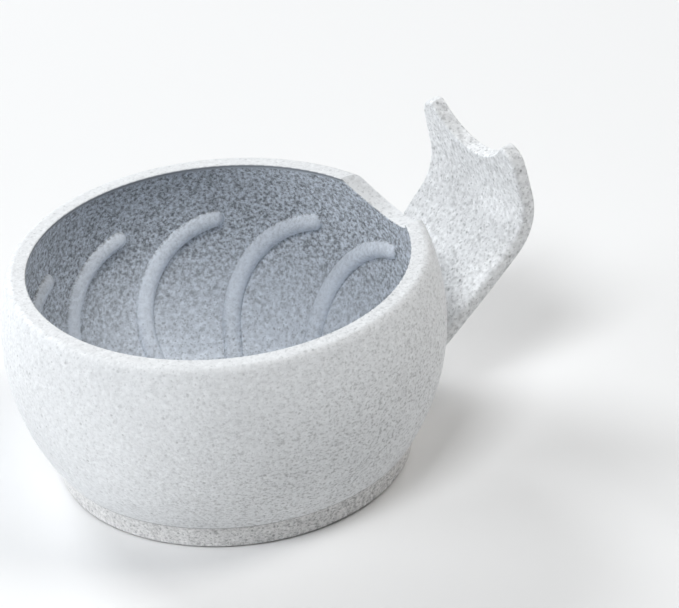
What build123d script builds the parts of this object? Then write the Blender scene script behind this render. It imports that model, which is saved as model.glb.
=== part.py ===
"""Shaving bowl: a ball-shaped double-skin vessel with a ribbed basin, a foot and a brush-rest handle.

Origin: centre of the underside. +Z is up and +X points from the bowl to its handle. Millimetres.
"""
from math import asin, atan2, cos, degrees, radians, sin, sqrt
import os

from build123d import *

# ---------------------------------------------------------------- driving dimensions
BALL_RADIUS = 60.0            # outside of the bowl
BALL_CENTRE = 40.5            # height of the widest line
WALL = 4.9                    # outer shell and basin together
SHELL_SKIN = 2.5              # outer shell alone
RIM_HEIGHT = 60.5             # flat top of the rim
RIM_CAP = 1.2                 # depth of the turned-over rim above the basin's edge
RIM_OUTER_ROUND = 2.2
RIM_INNER_ROUND = 0.3

FOOT_TOP = 7.3                # height of the crease between foot and ball
FOOT_TOP_RADIUS = 49.5
FOOT_BOTTOM_RADIUS = 48.2
FOOT_BOTTOM_ROUND = 0.8
FOOT_CLEARANCE = 0.3          # the grip pad holds the plastic foot this far off the table

FLOOR_TOP = 4.4
FLOOR_SKIN = 1.8
FLOOR_ROUND = 7.0             # fillet between basin floor and wall

PAD_RADIUS = 45.0
PAD_THICKNESS = 1.2           # most of it sits in a recess in the foot
PAD_CHAMFER = 0.3

RIB_COUNT = 12
RIB_TUBE = 2.8                # radius of the rounded rib
RIB_SUNK = 0.8                # how far the tube's centre lies under the surface
RIB_LONG_START = 10.6         # distance of a long rib's inner end from the axis
RIB_SHORT_START = 19.9
RIB_BEND_START = 10.0         # height where the rib starts to lean
RIB_TOP = 41.9                # height of the upper end's centre
RIB_LEAN = 27.7               # degrees that the rib leans round the wall, clockwise from above

SADDLE_HALF_WIDTH = 16.5
SADDLE_RADIUS = 22.0
SADDLE_START = 20.0           # the rim saddle's cut starts here, clear of the axis, and runs outwards

HANDLE_PLATE = 4.2            # thickness
HANDLE_RISE_ANGLE = 43.3      # slope of the lower arm
HANDLE_ROOT = (55.0, 18.1)    # x, z where the plate's underside leaves the wall
HANDLE_CORNER = (87.9, 49.1)  # x, z where the two outside faces would meet
HANDLE_TOP = (83.8, 74.1)     # x, z of the outside edge of the lip
HANDLE_BEND = 18.7            # outside radius of the bend
HANDLE_ROOT_HALF_WIDTH = 19.3
HANDLE_MIDDLE_HALF_WIDTH = 22.9
HANDLE_LIP_HALF_WIDTH = 21.9
HANDLE_LIP_CORNER = 5.5
HANDLE_EDGE_ROUND = 0.9
LIP_SADDLE_HALF_WIDTH = 17.0
TONGUE_HALF_WIDTH = 13.0      # the tongue that keys the handle into the shell
TONGUE_HALF_HEIGHT = 1.3
TONGUE_OVERLAP = 2.0          # how far the tongue reaches into the plate
SADDLE_EDGE_ROUND = 0.5

HANDLE_BURIED = 12.0          # plate that runs on inside the ball, before the ball trims it off
OUTLINE_EXTRA = 20.0          # the outline runs on this far below the handle's root
SIDE_EDGE_MIN_Y = 18.0        # edges further out than this run up the plate's sides
TOLERANCE = 0.1
CUT_REACH = 80.0              # length of the cutting shapes, well past the bowl

# ---------------------------------------------------------------- worked-out sizes
INNER_RADIUS = BALL_RADIUS - WALL
SKIN_RADIUS = BALL_RADIUS - SHELL_SKIN      # where the shell and the basin meet
BASIN_TOP = RIM_HEIGHT - RIM_CAP
FLOOR_UNDERSIDE = FLOOR_TOP - FLOOR_SKIN


def on_ball(radius, height):
    """Point (x, z) of a ball of this radius about the bowl's centre, at this height."""
    return (sqrt(radius**2 - (height - BALL_CENTRE) ** 2), height)


def ball_arc(radius, start_height, end_height):
    """Arc along the ball's outline between two heights."""
    middle = (start_height + end_height) / 2
    return ThreePointArc(
        on_ball(radius, start_height), on_ball(radius, middle), on_ball(radius, end_height)
    )


def nearest(vertices, point):
    return vertices.sort_by_distance(Vector(*point))[0]


def saddle_centre_height(top, half_width):
    """Height of a saddle's axis, so that its arc is this wide where it reaches the top."""
    return top + sqrt(SADDLE_RADIUS**2 - half_width**2)


# ---------------------------------------------------------------- cutting shapes
with BuildPart() as rim_saddle_cut:
    with BuildSketch(Plane.YZ.offset(SADDLE_START)):
        with Locations((0, saddle_centre_height(RIM_HEIGHT, SADDLE_HALF_WIDTH))):
            Circle(SADDLE_RADIUS)
    extrude(amount=CUT_REACH)

with BuildPart() as ball:
    with Locations((0, 0, BALL_CENTRE)):
        Sphere(BALL_RADIUS)

with BuildPart() as inner_ball:
    with Locations((0, 0, BALL_CENTRE)):
        Sphere(SKIN_RADIUS)

# ---------------------------------------------------------------- handle
ARM = Vector(cos(radians(HANDLE_RISE_ANGLE)), sin(radians(HANDLE_RISE_ANGLE)))
LIP = (Vector(*HANDLE_TOP) - Vector(*HANDLE_CORNER)).normalized()
ARM_NORMAL = Vector(-ARM.Y, ARM.X)          # towards the finger gap
LIP_NORMAL = Vector(-LIP.Y, LIP.X)
INSIDE_CORNER = Vector(*HANDLE_CORNER) + (ARM_NORMAL + LIP_NORMAL) * (
    HANDLE_PLATE / (1 + ARM_NORMAL.dot(LIP_NORMAL))
)
ROOT_START = Vector(*HANDLE_ROOT) - ARM * HANDLE_BURIED
TONGUE_START = ROOT_START + ARM_NORMAL * (HANDLE_PLATE / 2)
TONGUE_END = TONGUE_START + ARM * (HANDLE_BURIED + TONGUE_OVERLAP)
LIP_PLANE = Plane(
    origin=(HANDLE_TOP[0], 0, HANDLE_TOP[1]), x_dir=(0, 1, 0), z_dir=(LIP.Y, 0, -LIP.X)
)


def lip_height(point):
    """Distance of an (x, z) point from the lip's top, measured along the lip."""
    return (Vector(*point) - Vector(*HANDLE_TOP)).dot(LIP)


def is_long_side_edge(edge):
    """The edges that run up both sides of the plate and round the lip's corners."""
    across_plate = edge.geom_type == GeomType.LINE and edge.length < HANDLE_PLATE + TOLERANCE
    at_root = edge.center().X < HANDLE_ROOT[0]
    return abs(edge.center().Y) > SIDE_EDGE_MIN_Y and not across_plate and not at_root


def is_lip_saddle_edge(edge):
    """The two arcs where the saddle leaves the lip's faces."""
    is_arc = edge.geom_type == GeomType.CIRCLE and abs(edge.radius - SADDLE_RADIUS) < TOLERANCE
    return is_arc and edge.length > SADDLE_RADIUS


with BuildPart() as tongue_slab:
    with BuildSketch(Plane.XZ) as tongue_profile:
        with BuildLine():
            Polyline(
                TONGUE_START + ARM_NORMAL * TONGUE_HALF_HEIGHT,
                TONGUE_END + ARM_NORMAL * TONGUE_HALF_HEIGHT,
                TONGUE_END - ARM_NORMAL * TONGUE_HALF_HEIGHT,
                TONGUE_START - ARM_NORMAL * TONGUE_HALF_HEIGHT,
                close=True,
            )
        make_face()
    extrude(amount=TONGUE_HALF_WIDTH, both=True)

with BuildPart() as handle_tongue:
    add(tongue_slab.part)
    add(inner_ball.part, mode=Mode.SUBTRACT)

with BuildPart() as brush_handle:
    with BuildSketch(Plane.XZ) as bent_plate:
        with BuildLine():
            Polyline(
                ROOT_START,
                HANDLE_CORNER,
                HANDLE_TOP,
                Vector(*HANDLE_TOP) + LIP_NORMAL * HANDLE_PLATE,
                INSIDE_CORNER,
                ROOT_START + ARM_NORMAL * HANDLE_PLATE,
                close=True,
            )
        make_face()
        fillet(nearest(bent_plate.vertices(), HANDLE_CORNER), HANDLE_BEND)
        fillet(nearest(bent_plate.vertices(), INSIDE_CORNER), HANDLE_BEND - HANDLE_PLATE)
    extrude(amount=CUT_REACH, both=True)
    with BuildSketch(LIP_PLANE) as plate_outline:
        with BuildLine():
            root_y = lip_height(HANDLE_ROOT)
            side = ThreePointArc(
                (HANDLE_ROOT_HALF_WIDTH, root_y),
                (HANDLE_MIDDLE_HALF_WIDTH, root_y / 2),
                (HANDLE_LIP_HALF_WIDTH, 0),
            )
            Line((HANDLE_LIP_HALF_WIDTH, 0), (-HANDLE_LIP_HALF_WIDTH, 0))
            mirror(side, about=Plane.YZ)
            Polyline(
                (HANDLE_ROOT_HALF_WIDTH, root_y),
                (HANDLE_ROOT_HALF_WIDTH, root_y - OUTLINE_EXTRA),
                (-HANDLE_ROOT_HALF_WIDTH, root_y - OUTLINE_EXTRA),
                (-HANDLE_ROOT_HALF_WIDTH, root_y),
            )
        make_face()
        for side_sign in (-1, 1):
            corner = (side_sign * HANDLE_LIP_HALF_WIDTH, 0)
            fillet(nearest(plate_outline.vertices(), corner), HANDLE_LIP_CORNER)
        with Locations((0, saddle_centre_height(0, LIP_SADDLE_HALF_WIDTH))):
            Circle(SADDLE_RADIUS, mode=Mode.SUBTRACT)
    extrude(amount=CUT_REACH, both=True, mode=Mode.INTERSECT)
    fillet(brush_handle.edges().filter_by(is_long_side_edge), HANDLE_EDGE_ROUND)
    fillet(brush_handle.edges().filter_by(is_lip_saddle_edge), SADDLE_EDGE_ROUND)
    add(ball.part, mode=Mode.SUBTRACT)
    add(handle_tongue.part)
brush_handle.part.label = "brush_handle"

# ---------------------------------------------------------------- outer shell
with BuildPart() as outer_shell:
    with BuildSketch(Plane.XZ) as shell_profile:
        with BuildLine():
            ball_arc(BALL_RADIUS, FOOT_TOP, RIM_HEIGHT)
            Line(on_ball(BALL_RADIUS, RIM_HEIGHT), on_ball(INNER_RADIUS, RIM_HEIGHT))
            ball_arc(INNER_RADIUS, RIM_HEIGHT, BASIN_TOP)
            Line(on_ball(INNER_RADIUS, BASIN_TOP), on_ball(SKIN_RADIUS, BASIN_TOP))
            ball_arc(SKIN_RADIUS, BASIN_TOP, FOOT_TOP)
            Line(on_ball(SKIN_RADIUS, FOOT_TOP), on_ball(BALL_RADIUS, FOOT_TOP))
        make_face()
        fillet(nearest(shell_profile.vertices(), on_ball(BALL_RADIUS, RIM_HEIGHT)), RIM_OUTER_ROUND)
        fillet(nearest(shell_profile.vertices(), on_ball(INNER_RADIUS, RIM_HEIGHT)), RIM_INNER_ROUND)
    revolve(axis=Axis.Z)
    add(rim_saddle_cut.part, mode=Mode.SUBTRACT)
    add(tongue_slab.part, mode=Mode.SUBTRACT)
outer_shell.part.label = "outer_shell"

# ---------------------------------------------------------------- ribbed basin
# A rib's centre line runs along the floor, round the fillet, a little way straight up, and then leans over.
RIB_BALL = INNER_RADIUS + RIB_SUNK
RIB_FLOOR = FLOOR_TOP - RIB_SUNK
ROUND_CENTRE_DEPTH = BALL_CENTRE - FLOOR_TOP - FLOOR_ROUND     # below the widest line
ROUND_CENTRE_X = sqrt((INNER_RADIUS - FLOOR_ROUND) ** 2 - ROUND_CENTRE_DEPTH**2)
RIB_FLOOR_END = Vector(ROUND_CENTRE_X, 0, RIB_FLOOR)


def rib_wall_point(depression, lean=0.0):
    """Point of a rib's centre line this far below the widest line and round the wall, in degrees."""
    out = RIB_BALL * cos(radians(depression))
    return Vector(
        out * cos(radians(lean)),
        -out * sin(radians(lean)),
        BALL_CENTRE - RIB_BALL * sin(radians(depression)),
    )


def depression_at(height):
    return degrees(asin((BALL_CENTRE - height) / RIB_BALL))


def upward_tangent(depression):
    return (sin(radians(depression)), 0, cos(radians(depression)))


WALL_START_DEPRESSION = degrees(atan2(ROUND_CENTRE_DEPTH, ROUND_CENTRE_X))
BEND_START_DEPRESSION = depression_at(RIB_BEND_START)
RIB_END = rib_wall_point(depression_at(RIB_TOP), RIB_LEAN)


def rib(inner_end):
    """One round-topped rib in the +X direction, from this distance off the axis up the wall."""
    start = Vector(inner_end + RIB_TUBE, 0, RIB_FLOOR)
    wall_start = rib_wall_point(WALL_START_DEPRESSION)
    bend_start = rib_wall_point(BEND_START_DEPRESSION)
    with BuildPart() as tube:
        with BuildLine() as route:
            Line(start, RIB_FLOOR_END)
            TangentArc(RIB_FLOOR_END, wall_start, tangent=(1, 0, 0))
            TangentArc(wall_start, bend_start, tangent=upward_tangent(WALL_START_DEPRESSION))
            TangentArc(bend_start, RIB_END, tangent=upward_tangent(BEND_START_DEPRESSION))
        with BuildSketch(Plane(origin=start, z_dir=(1, 0, 0))):
            Circle(RIB_TUBE)
        sweep(path=route.wire())
        with Locations(start, RIB_END):
            Sphere(RIB_TUBE)
    return tube.part


long_rib = rib(RIB_LONG_START)
short_rib = rib(RIB_SHORT_START)

with BuildPart() as basin_envelope:
    with BuildSketch(Plane.XZ):
        with BuildLine():
            Line((0, FLOOR_UNDERSIDE), on_ball(SKIN_RADIUS, FLOOR_UNDERSIDE))
            ball_arc(SKIN_RADIUS, FLOOR_UNDERSIDE, BASIN_TOP)
            Polyline(on_ball(SKIN_RADIUS, BASIN_TOP), (0, BASIN_TOP), (0, FLOOR_UNDERSIDE))
        make_face()
    revolve(axis=Axis.Z)

with BuildPart() as basin_hollow:
    with BuildSketch(Plane.XZ) as hollow_profile:
        with BuildLine():
            Line((0, FLOOR_TOP), on_ball(INNER_RADIUS, FLOOR_TOP))
            ball_arc(INNER_RADIUS, FLOOR_TOP, BASIN_TOP)
            Polyline(on_ball(INNER_RADIUS, BASIN_TOP), (0, BASIN_TOP), (0, FLOOR_TOP))
        make_face()
        fillet(nearest(hollow_profile.vertices(), on_ball(INNER_RADIUS, FLOOR_TOP)), FLOOR_ROUND)
    revolve(axis=Axis.Z)

with BuildPart() as ribbed_basin:
    add(basin_envelope.part)
    add(basin_hollow.part, mode=Mode.SUBTRACT)
    with PolarLocations(0, RIB_COUNT // 2):
        add(long_rib)
    with PolarLocations(0, RIB_COUNT // 2, start_angle=360 / RIB_COUNT):
        add(short_rib)
    add(basin_envelope.part, mode=Mode.INTERSECT)
    add(rim_saddle_cut.part, mode=Mode.SUBTRACT)
ribbed_basin.part.label = "ribbed_basin"

# ---------------------------------------------------------------- foot
with BuildPart() as foot_base:
    with BuildSketch(Plane.XZ) as foot_profile:
        with BuildLine():
            Polyline(
                on_ball(SKIN_RADIUS, FLOOR_UNDERSIDE),
                (0, FLOOR_UNDERSIDE),
                (0, PAD_THICKNESS),
                (PAD_RADIUS, PAD_THICKNESS),
                (PAD_RADIUS, FOOT_CLEARANCE),
                (FOOT_BOTTOM_RADIUS, FOOT_CLEARANCE),
                (FOOT_TOP_RADIUS, FOOT_TOP),
                on_ball(SKIN_RADIUS, FOOT_TOP),
            )
            ball_arc(SKIN_RADIUS, FOOT_TOP, FLOOR_UNDERSIDE)
        make_face()
        foot_bottom_corner = (FOOT_BOTTOM_RADIUS, FOOT_CLEARANCE)
        fillet(nearest(foot_profile.vertices(), foot_bottom_corner), FOOT_BOTTOM_ROUND)
    revolve(axis=Axis.Z)
foot_base.part.label = "foot_base"

# ---------------------------------------------------------------- grip pad
with BuildPart() as grip_pad:
    with BuildSketch():
        Circle(PAD_RADIUS)
    extrude(amount=PAD_THICKNESS)
    chamfer(grip_pad.edges().group_by(Axis.Z)[0], PAD_CHAMFER)
grip_pad.part.label = "grip_pad"

# ---------------------------------------------------------------- files
os.makedirs("parts", exist_ok=True)
for piece in (outer_shell, ribbed_basin, foot_base, brush_handle, grip_pad):
    export_step(piece.part, f"parts/{piece.part.label}.step")
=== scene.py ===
"""Shaving bowl on a pale studio floor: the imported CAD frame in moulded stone-look plastic, in metres."""
from math import cos, radians, sin

import bpy
from mathutils import Matrix, Vector


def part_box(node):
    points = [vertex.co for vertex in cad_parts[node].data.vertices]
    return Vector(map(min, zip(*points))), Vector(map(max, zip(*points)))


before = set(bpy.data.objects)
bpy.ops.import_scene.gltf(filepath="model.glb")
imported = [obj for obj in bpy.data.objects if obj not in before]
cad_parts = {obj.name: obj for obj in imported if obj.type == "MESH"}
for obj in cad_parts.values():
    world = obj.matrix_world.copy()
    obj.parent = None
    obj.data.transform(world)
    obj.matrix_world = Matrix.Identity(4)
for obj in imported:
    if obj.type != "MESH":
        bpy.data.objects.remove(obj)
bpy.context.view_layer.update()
scene = bpy.context.scene
MM = 0.001

# ---------------------------------------------------------------- camera
CAMERA_PLACE = Vector((-0.3953, -0.7591, 0.5501))
CAMERA_HEADING = 60.395       # degrees from +X towards +Y
CAMERA_DIP = 30.649           # degrees below the horizon
CAMERA_ROLL = 4.515           # degrees, right end of the horizon raised
CAMERA_LENS = 196.1           # mm
SENSOR_WIDTH = 36.0           # mm

# ---------------------------------------------------------------- the bowl's own sizes
RIM_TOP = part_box("outer_shell")[1][2]
FOOT_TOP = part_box("outer_shell")[0][2]
BALL_CENTRE = (0.0, 0.0, 40.5 * MM)
INNER_RADIUS = 55.1 * MM              # the basin's wall, from the ball's centre

# ---------------------------------------------------------------- materials


def grey(level, blue=0.0):
    return (level * (1 - blue), level, level * (1 + blue), 1.0)


def tinted(colour, factor):
    """The same colour, lighter or darker by this factor."""
    return tuple(min(1.0, level * factor) for level in colour[:3]) + (1.0,)


SHELL_BASE = grey(0.835, 0.018)
BASIN_BASE = (0.63, 0.668, 0.72, 1.0)
FOOT_BASE = grey(0.84, -0.004)
HANDLE_BASE = grey(0.84, 0.014)
BROAD_SIZE = 22 * MM                  # slow drift of the tone
BROAD_TINT = 0.965
GRAIN_DEPTH = 0.20 * MM               # bump of the mottle
WAVE_SIZE = 7 * MM                    # slow unevenness of the surface
WAVE_DEPTH = 0.10 * MM
SHADED_SIDE = (0.35, -0.60, -0.72)   # direction of the side painted darker as shade, where the flecks are densest
FLECK_LENGTH = 1.0 * MM
FLECK_HEIGHT = 0.65 * MM
# size of the cells, radius in parts of it, share of cells that hold one, level of grey, strength
SPECK_KINDS = (
    (1.1 * MM, 0.42, 0.45, 0.25, 0.45),
    (1.9 * MM, 0.30, 0.40, 0.14, 0.55),
    (4.2 * MM, 0.14, 0.35, 0.05, 0.75),
)
FIBRE_TURNS = ((20, 35, 0), (-50, 15, 40), (70, -30, 80))
FIBRE_SCALE = (420, 420, 100)         # cells per metre across, across and along a fibre
FIBRE_RADIUS = 0.34                   # in parts of a cell
FIBRE_SHARE = 0.14
FIBRE_STRENGTH = 0.30
FIBRE_COLOUR = grey(0.16, 0.02)


class Graph:
    """A material's node tree, with short calls that add a node and return its output."""

    def __init__(self, name):
        self.material = bpy.data.materials.new(name)
        self.material.use_nodes = True
        self.tree = self.material.node_tree
        self.shader = self.tree.nodes["Principled BSDF"]
        coordinates = self.tree.nodes.new("ShaderNodeTexCoord")
        self.place = coordinates.outputs["Object"]

    def link(self, value, socket):
        """Links a socket, or sets a plain value."""
        if isinstance(value, bpy.types.NodeSocket):
            self.tree.links.new(value, socket)
        else:
            socket.default_value = value

    def turned_and_scaled(self, turn, scale):
        """The place, turned by these angles in degrees and then stretched."""
        place = self.place
        for name, amounts in (("Rotation", [radians(a) for a in turn]), ("Scale", scale)):
            node = self.tree.nodes.new("ShaderNodeMapping")
            self.link(place, node.inputs["Vector"])
            node.inputs[name].default_value = amounts
            place = node.outputs["Vector"]
        return place

    def noise(self, size, detail=2.0, roughness=0.5, vector=None):
        """Noise whose lumps are about this many metres across, 0 to 1."""
        node = self.tree.nodes.new("ShaderNodeTexNoise")
        self.link(vector or self.place, node.inputs["Vector"])
        node.inputs["Scale"].default_value = 1 / size
        node.inputs["Detail"].default_value = detail
        node.inputs["Roughness"].default_value = roughness
        return node.outputs["Fac"]

    def cells(self, size, vector=None):
        """Distance from the nearest of random points this many metres apart, and that point's colour."""
        node = self.tree.nodes.new("ShaderNodeTexVoronoi")
        self.link(vector or self.place, node.inputs["Vector"])
        node.inputs["Scale"].default_value = 1 / size
        return node.outputs["Distance"], node.outputs["Color"]

    def math(self, operation, first, second=0.0):
        node = self.tree.nodes.new("ShaderNodeMath")
        node.operation = operation
        self.link(first, node.inputs[0])
        self.link(second, node.inputs[1])
        return node.outputs["Value"]

    def ramp(self, value, low, high, low_out=0.0, high_out=1.0):
        """Goes smoothly from low_out to high_out as value goes from low to high."""
        node = self.tree.nodes.new("ShaderNodeMapRange")
        node.interpolation_type = "SMOOTHSTEP"
        self.link(value, node.inputs["Value"])
        limits = {"From Min": low, "From Max": high, "To Min": low_out, "To Max": high_out}
        for name, number in limits.items():
            node.inputs[name].default_value = number
        return node.outputs["Result"]

    def product(self, *factors):
        """All the factors multiplied together."""
        result = factors[0]
        for factor in factors[1:]:
            result = self.math("MULTIPLY", result, factor)
        return result

    def mix(self, amount, first, second):
        """The first colour where amount is 0, the second where it is 1."""
        node = self.tree.nodes.new("ShaderNodeMix")
        node.data_type = "RGBA"
        self.link(amount, node.inputs["Factor"])
        self.link(first, node.inputs["A"])
        self.link(second, node.inputs["B"])
        return node.outputs["Result"]

    def bump(self, height, depth, normal=None):
        """A normal bumped by height, this many metres deep, on top of another normal if one is given."""
        node = self.tree.nodes.new("ShaderNodeBump")
        node.inputs["Strength"].default_value = 1.0
        node.inputs["Distance"].default_value = depth
        self.link(height, node.inputs["Height"])
        if normal is not None:
            self.link(normal, node.inputs["Normal"])
        return node.outputs["Normal"]

    def specks(self, size, radius, share, vector=None):
        """Mask of round specks: this share of the points get one, of this radius in parts of size."""
        distance, colour = self.cells(size, vector)
        split = self.tree.nodes.new("ShaderNodeSeparateColor")
        self.link(colour, split.inputs["Color"])
        chosen = self.ramp(split.outputs["Red"], 1 - share, 1 - share + 0.02)
        reach = self.product(self.ramp(split.outputs["Green"], 0, 1, 0.5, 1.0), radius)
        inside = self.math("SUBTRACT", 1.0, self.math("DIVIDE", distance, reach))
        return self.product(self.ramp(inside, 0.0, 0.45), chosen)

    def height(self):
        """Height above the floor, in metres."""
        node = self.tree.nodes.new("ShaderNodeSeparateXYZ")
        self.link(self.place, node.inputs["Vector"])
        return node.outputs["Z"]

    def vector_math(self, operation, place, other):
        """A vector node that takes a linked place and a fixed vector."""
        node = self.tree.nodes.new("ShaderNodeVectorMath")
        node.operation = operation
        self.link(place, node.inputs[0])
        node.inputs[1].default_value = other
        return node

    def ball_distance(self):
        """Distance from the centre of the bowl's ball, in metres."""
        return self.vector_math("DISTANCE", self.place, BALL_CENTRE).outputs["Value"]

    def along(self, direction):
        """How far the place lies from the ball's centre in this direction, in metres."""
        offset = self.vector_math("SUBTRACT", self.place, BALL_CENTRE).outputs["Vector"]
        return self.vector_math("DOT_PRODUCT", offset, direction).outputs["Value"]


def stone_plastic(name, base, grain, speck_strength, grain_size, finish=None):
    """Pale matt plastic with a fine grey grain, dark specks and short fibres.

    grain is the part of the base colour by which the mottle goes up and down, grain_size its lumps' size.
    finish, if given, is called with the graph and the colour and returns the colour used instead.
    """
    g = Graph(name)
    colour = g.mix(g.ramp(g.noise(BROAD_SIZE), 0.3, 0.7), base, tinted(base, BROAD_TINT))
    mottle = g.noise(grain_size)
    fleck = g.noise(0.6 * grain_size, detail=1.0)
    colour = g.mix(g.ramp(mottle, 0.5, 0.72), colour, tinted(base, 1 - 1.5 * grain))
    colour = g.mix(g.ramp(mottle, 0.5, 0.28), colour, tinted(base, 1 + grain))
    colour = g.mix(g.ramp(fleck, 0.56, 0.74, 0.0, 0.9), colour, tinted(base, 1 - 2.2 * grain))
    for size, radius, share, dark, strength in SPECK_KINDS:
        mask = g.specks(size, radius, share)
        colour = g.mix(g.product(mask, strength * speck_strength), colour, grey(dark, 0.03))
    for turn in FIBRE_TURNS:
        fibres = g.specks(1.0, FIBRE_RADIUS, FIBRE_SHARE, g.turned_and_scaled(turn, FIBRE_SCALE))
        colour = g.mix(g.product(fibres, FIBRE_STRENGTH * speck_strength), colour, FIBRE_COLOUR)
    if finish is not None:
        colour = finish(g, colour)
    g.link(colour, g.shader.inputs["Base Color"])
    g.link(g.ramp(mottle, 0.3, 0.7, 0.50, 0.62), g.shader.inputs["Roughness"])
    pits = g.bump(mottle, GRAIN_DEPTH)
    g.link(g.bump(g.noise(WAVE_SIZE), WAVE_DEPTH, normal=pits), g.shader.inputs["Normal"])
    g.shader.inputs["Specular IOR Level"].default_value = 0.4
    return g.material


def flecks_with_side_shade(g, colour, fleck_colour, strength):
    """Short flat flecks, with painted shade: they get denser and darker towards the shaded lower side."""
    # Painted shade: the flecks grow denser towards the shaded lower side.
    drift = g.ramp(g.along(SHADED_SIDE), -5 * MM, 64 * MM, 0.10, 1.0)
    flat = g.turned_and_scaled((0, 0, 0), (1 / FLECK_LENGTH, 1 / FLECK_LENGTH, 1 / FLECK_HEIGHT))
    flecks = g.ramp(g.noise(1.0, detail=3.0, roughness=0.75, vector=flat), 0.49, 0.65)
    return g.mix(g.product(flecks, drift, strength), colour, fleck_colour)


def seam_shade(g, colour):
    """Painted shade: a thin dark line in the crease where the shell stands on the foot."""
    from_seam = g.math("ABSOLUTE", g.math("SUBTRACT", g.height(), FOOT_TOP))
    return g.mix(g.ramp(from_seam, 0.45 * MM, 0.15 * MM, 0.0, 0.8), colour, tinted(FOOT_BASE, 0.35))


def lip_tone_and_rim_shade(g, colour):
    """The inside of the turned-over rim takes the basin's tone, so that the two read as one wall, darkened
    as painted shade, most just under the rim's edge.
    """
    inside = g.ramp(g.ball_distance(), INNER_RADIUS + 0.5 * MM, INNER_RADIUS + 0.2 * MM)
    below = g.ramp(g.height(), RIM_TOP - 0.05 * MM, RIM_TOP - 0.3 * MM)
    # Painted shade: darkest just under the rim's edge, lighter further down.
    under_edge_shade = g.ramp(g.height(), RIM_TOP - 1.1 * MM, RIM_TOP - 0.4 * MM)
    wall = g.mix(under_edge_shade, tinted(BASIN_BASE, 0.8), tinted(BASIN_BASE, 0.42))
    return g.mix(g.product(inside, below), colour, wall)


def shell_finish(g, colour):
    """Flecks with painted shade to one side, the painted shade line above the foot, and the basin's tone
    inside the rim with painted shade under its edge.
    """
    flecked = flecks_with_side_shade(g, colour, tinted(SHELL_BASE, 0.36), 0.85)
    return lip_tone_and_rim_shade(g, seam_shade(g, flecked))


def foot_finish(g, colour):
    """Flecks with painted shade to one side and the painted shade line under the shell."""
    return seam_shade(g, flecks_with_side_shade(g, colour, tinted(FOOT_BASE, 0.20), 0.65))


def basin_finish(g, colour):
    """Flecks denser and darker towards the rim as painted shade, ribs painted paler as painted light, and
    the shell's tone where the saddle cuts.
    """
    # Painted shade: dark flecks gather up the wall towards the rim and darken it.
    rim_shade_height = g.ramp(g.height(), 6 * MM, 42 * MM)
    flecks = g.noise(1.05 * MM, detail=3.0, roughness=0.75)
    dark = g.product(g.ramp(flecks, 0.47, 0.63), rim_shade_height, 0.88)
    colour = g.mix(dark, colour, tinted(BASIN_BASE, 0.27))
    pale = g.product(g.ramp(flecks, 0.46, 0.33), rim_shade_height, 0.80)
    colour = g.mix(pale, colour, tinted(BASIN_BASE, 1.36))
    # Painted light: the ribs are painted paler than the wall around them.
    rib_light = g.ramp(g.ball_distance(), INNER_RADIUS - 0.1 * MM, INNER_RADIUS - 0.9 * MM)
    on_wall = g.ramp(g.height(), 7 * MM, 24 * MM)
    colour = g.mix(g.product(rib_light, on_wall, 0.66), colour, tinted(BASIN_BASE, 1.32))
    in_the_wall = g.ramp(g.ball_distance(), INNER_RADIUS + 0.15 * MM, INNER_RADIUS + 0.4 * MM)
    grain = g.ramp(g.noise(1.2 * MM, detail=3.0, roughness=0.7), 0.5, 0.68)
    return g.mix(in_the_wall, colour, g.mix(grain, SHELL_BASE, tinted(SHELL_BASE, 0.75)))


def pad_rubber(name):
    """Dark matt rubber with a fine grain."""
    g = Graph(name)
    tone = g.noise(3 * MM, detail=4.0)
    g.link(g.mix(tone, grey(0.16), grey(0.21)), g.shader.inputs["Base Color"])
    g.link(g.ramp(tone, 0.3, 0.7, 0.72, 0.85), g.shader.inputs["Roughness"])
    g.link(g.bump(g.noise(0.4 * MM, detail=3.0), 0.05 * MM), g.shader.inputs["Normal"])
    return g.material


NODE_MATERIALS = {
    "outer_shell": stone_plastic("shell_stone_plastic", SHELL_BASE, grain=0.065, speck_strength=0.42,
                                 grain_size=1.2 * MM, finish=shell_finish),
    "ribbed_basin": stone_plastic("basin_stone_plastic", BASIN_BASE, grain=0.19, speck_strength=0.8,
                                  grain_size=1.2 * MM, finish=basin_finish),
    "foot_base": stone_plastic("foot_stone_plastic", FOOT_BASE, grain=0.15, speck_strength=1.0,
                               grain_size=1.0 * MM, finish=foot_finish),
    "brush_handle": stone_plastic("handle_stone_plastic", HANDLE_BASE, grain=0.16, speck_strength=0.8,
                                  grain_size=1.3 * MM),
    "grip_pad": pad_rubber("pad_matt_rubber"),
}
for node_name, material in NODE_MATERIALS.items():
    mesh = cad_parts[node_name].data
    mesh.materials.clear()
    mesh.materials.append(material)

# ---------------------------------------------------------------- floor
FLOOR_HALF = 6.0              # half the width of the sheet, in metres
FLOOR_COLOUR = (0.87, 0.87, 0.87, 1.0)


def make_floor():
    """A wide flat sheet that the bowl stands on."""
    mesh = bpy.data.meshes.new("studio_floor")
    corners = [(-FLOOR_HALF, -FLOOR_HALF, 0), (FLOOR_HALF, -FLOOR_HALF, 0),
               (FLOOR_HALF, FLOOR_HALF, 0), (-FLOOR_HALF, FLOOR_HALF, 0)]
    mesh.from_pydata(corners, [], [(0, 1, 2, 3)])
    floor = bpy.data.objects.new("studio_floor", mesh)
    scene.collection.objects.link(floor)
    g = Graph("floor_paper")
    g.shader.inputs["Base Color"].default_value = FLOOR_COLOUR
    g.shader.inputs["Roughness"].default_value = 0.9
    g.shader.inputs["Specular IOR Level"].default_value = 0.1
    mesh.materials.append(g.material)


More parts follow.
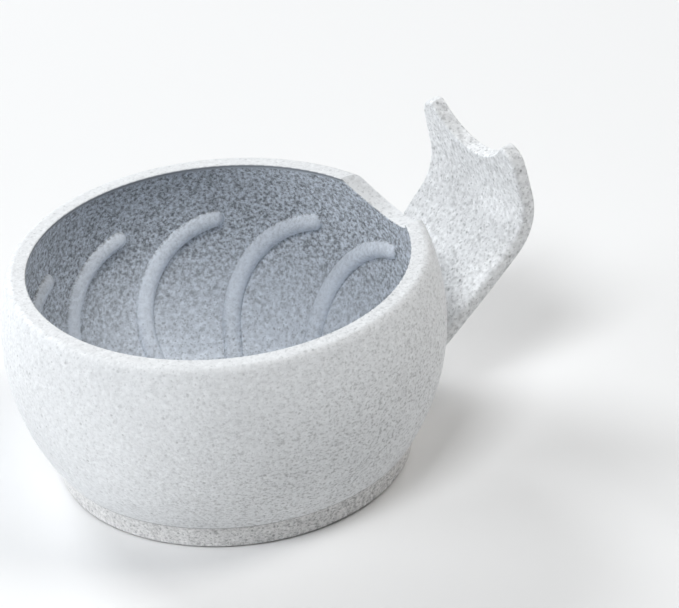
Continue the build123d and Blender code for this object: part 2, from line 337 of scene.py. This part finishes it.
make_floor()

# ---------------------------------------------------------------- light
BOWL_CENTRE = Vector((0, 0, 0.04))
LIGHT_DISTANCE = 2.2
LIGHT_SIZE = 0.8
WORLD_COLOUR = (0.96, 0.98, 1.0, 1.0)
WORLD_STRENGTH = 0.02


def area_light(name, azimuth, elevation, power, colour):
    """A square soft light in this direction: degrees from +X towards +Y, and above the floor."""
    across = cos(radians(elevation))
    towards = Vector((
        cos(radians(azimuth)) * across,
        sin(radians(azimuth)) * across,
        sin(radians(elevation)),
    ))
    light = bpy.data.lights.new(name, "AREA")
    light.size = LIGHT_SIZE
    light.energy = power
    light.color = colour
    lamp = bpy.data.objects.new(name, light)
    lamp.location = BOWL_CENTRE + towards * LIGHT_DISTANCE
    lamp.rotation_euler = towards.to_track_quat("Z", "Y").to_euler()
    scene.collection.objects.link(lamp)


area_light("back_left", 93, 34, 27.0, (0.95, 0.975, 1.0))
area_light("left_low", 158, 12, 20.5, (0.95, 0.975, 1.0))
area_light("front_left_high", 213, 58, 24.0, (0.96, 0.98, 1.0))
area_light("right_high", 330, 58, 16.0, (1.0, 0.985, 0.955))
area_light("right_low", 0, 12, 5.5, (1.0, 0.96, 0.92))
world = bpy.data.worlds.new("studio")
world.use_nodes = True
background = world.node_tree.nodes["Background"]
background.inputs["Color"].default_value = WORLD_COLOUR
background.inputs["Strength"].default_value = WORLD_STRENGTH
scene.world = world
scene.view_settings.view_transform = "Standard"


def make_camera():
    """The camera at the photograph's viewing angle."""
    data = bpy.data.cameras.new("camera")
    data.lens = CAMERA_LENS
    data.sensor_width = SENSOR_WIDTH
    camera = bpy.data.objects.new("camera", data)
    turn = (Matrix.Rotation(radians(CAMERA_HEADING - 90), 4, "Z")
            @ Matrix.Rotation(radians(90 - CAMERA_DIP), 4, "X")
            @ Matrix.Rotation(radians(-CAMERA_ROLL), 4, "Z"))
    camera.matrix_world = Matrix.Translation(CAMERA_PLACE) @ turn
    scene.collection.objects.link(camera)
    scene.camera = camera


make_camera()
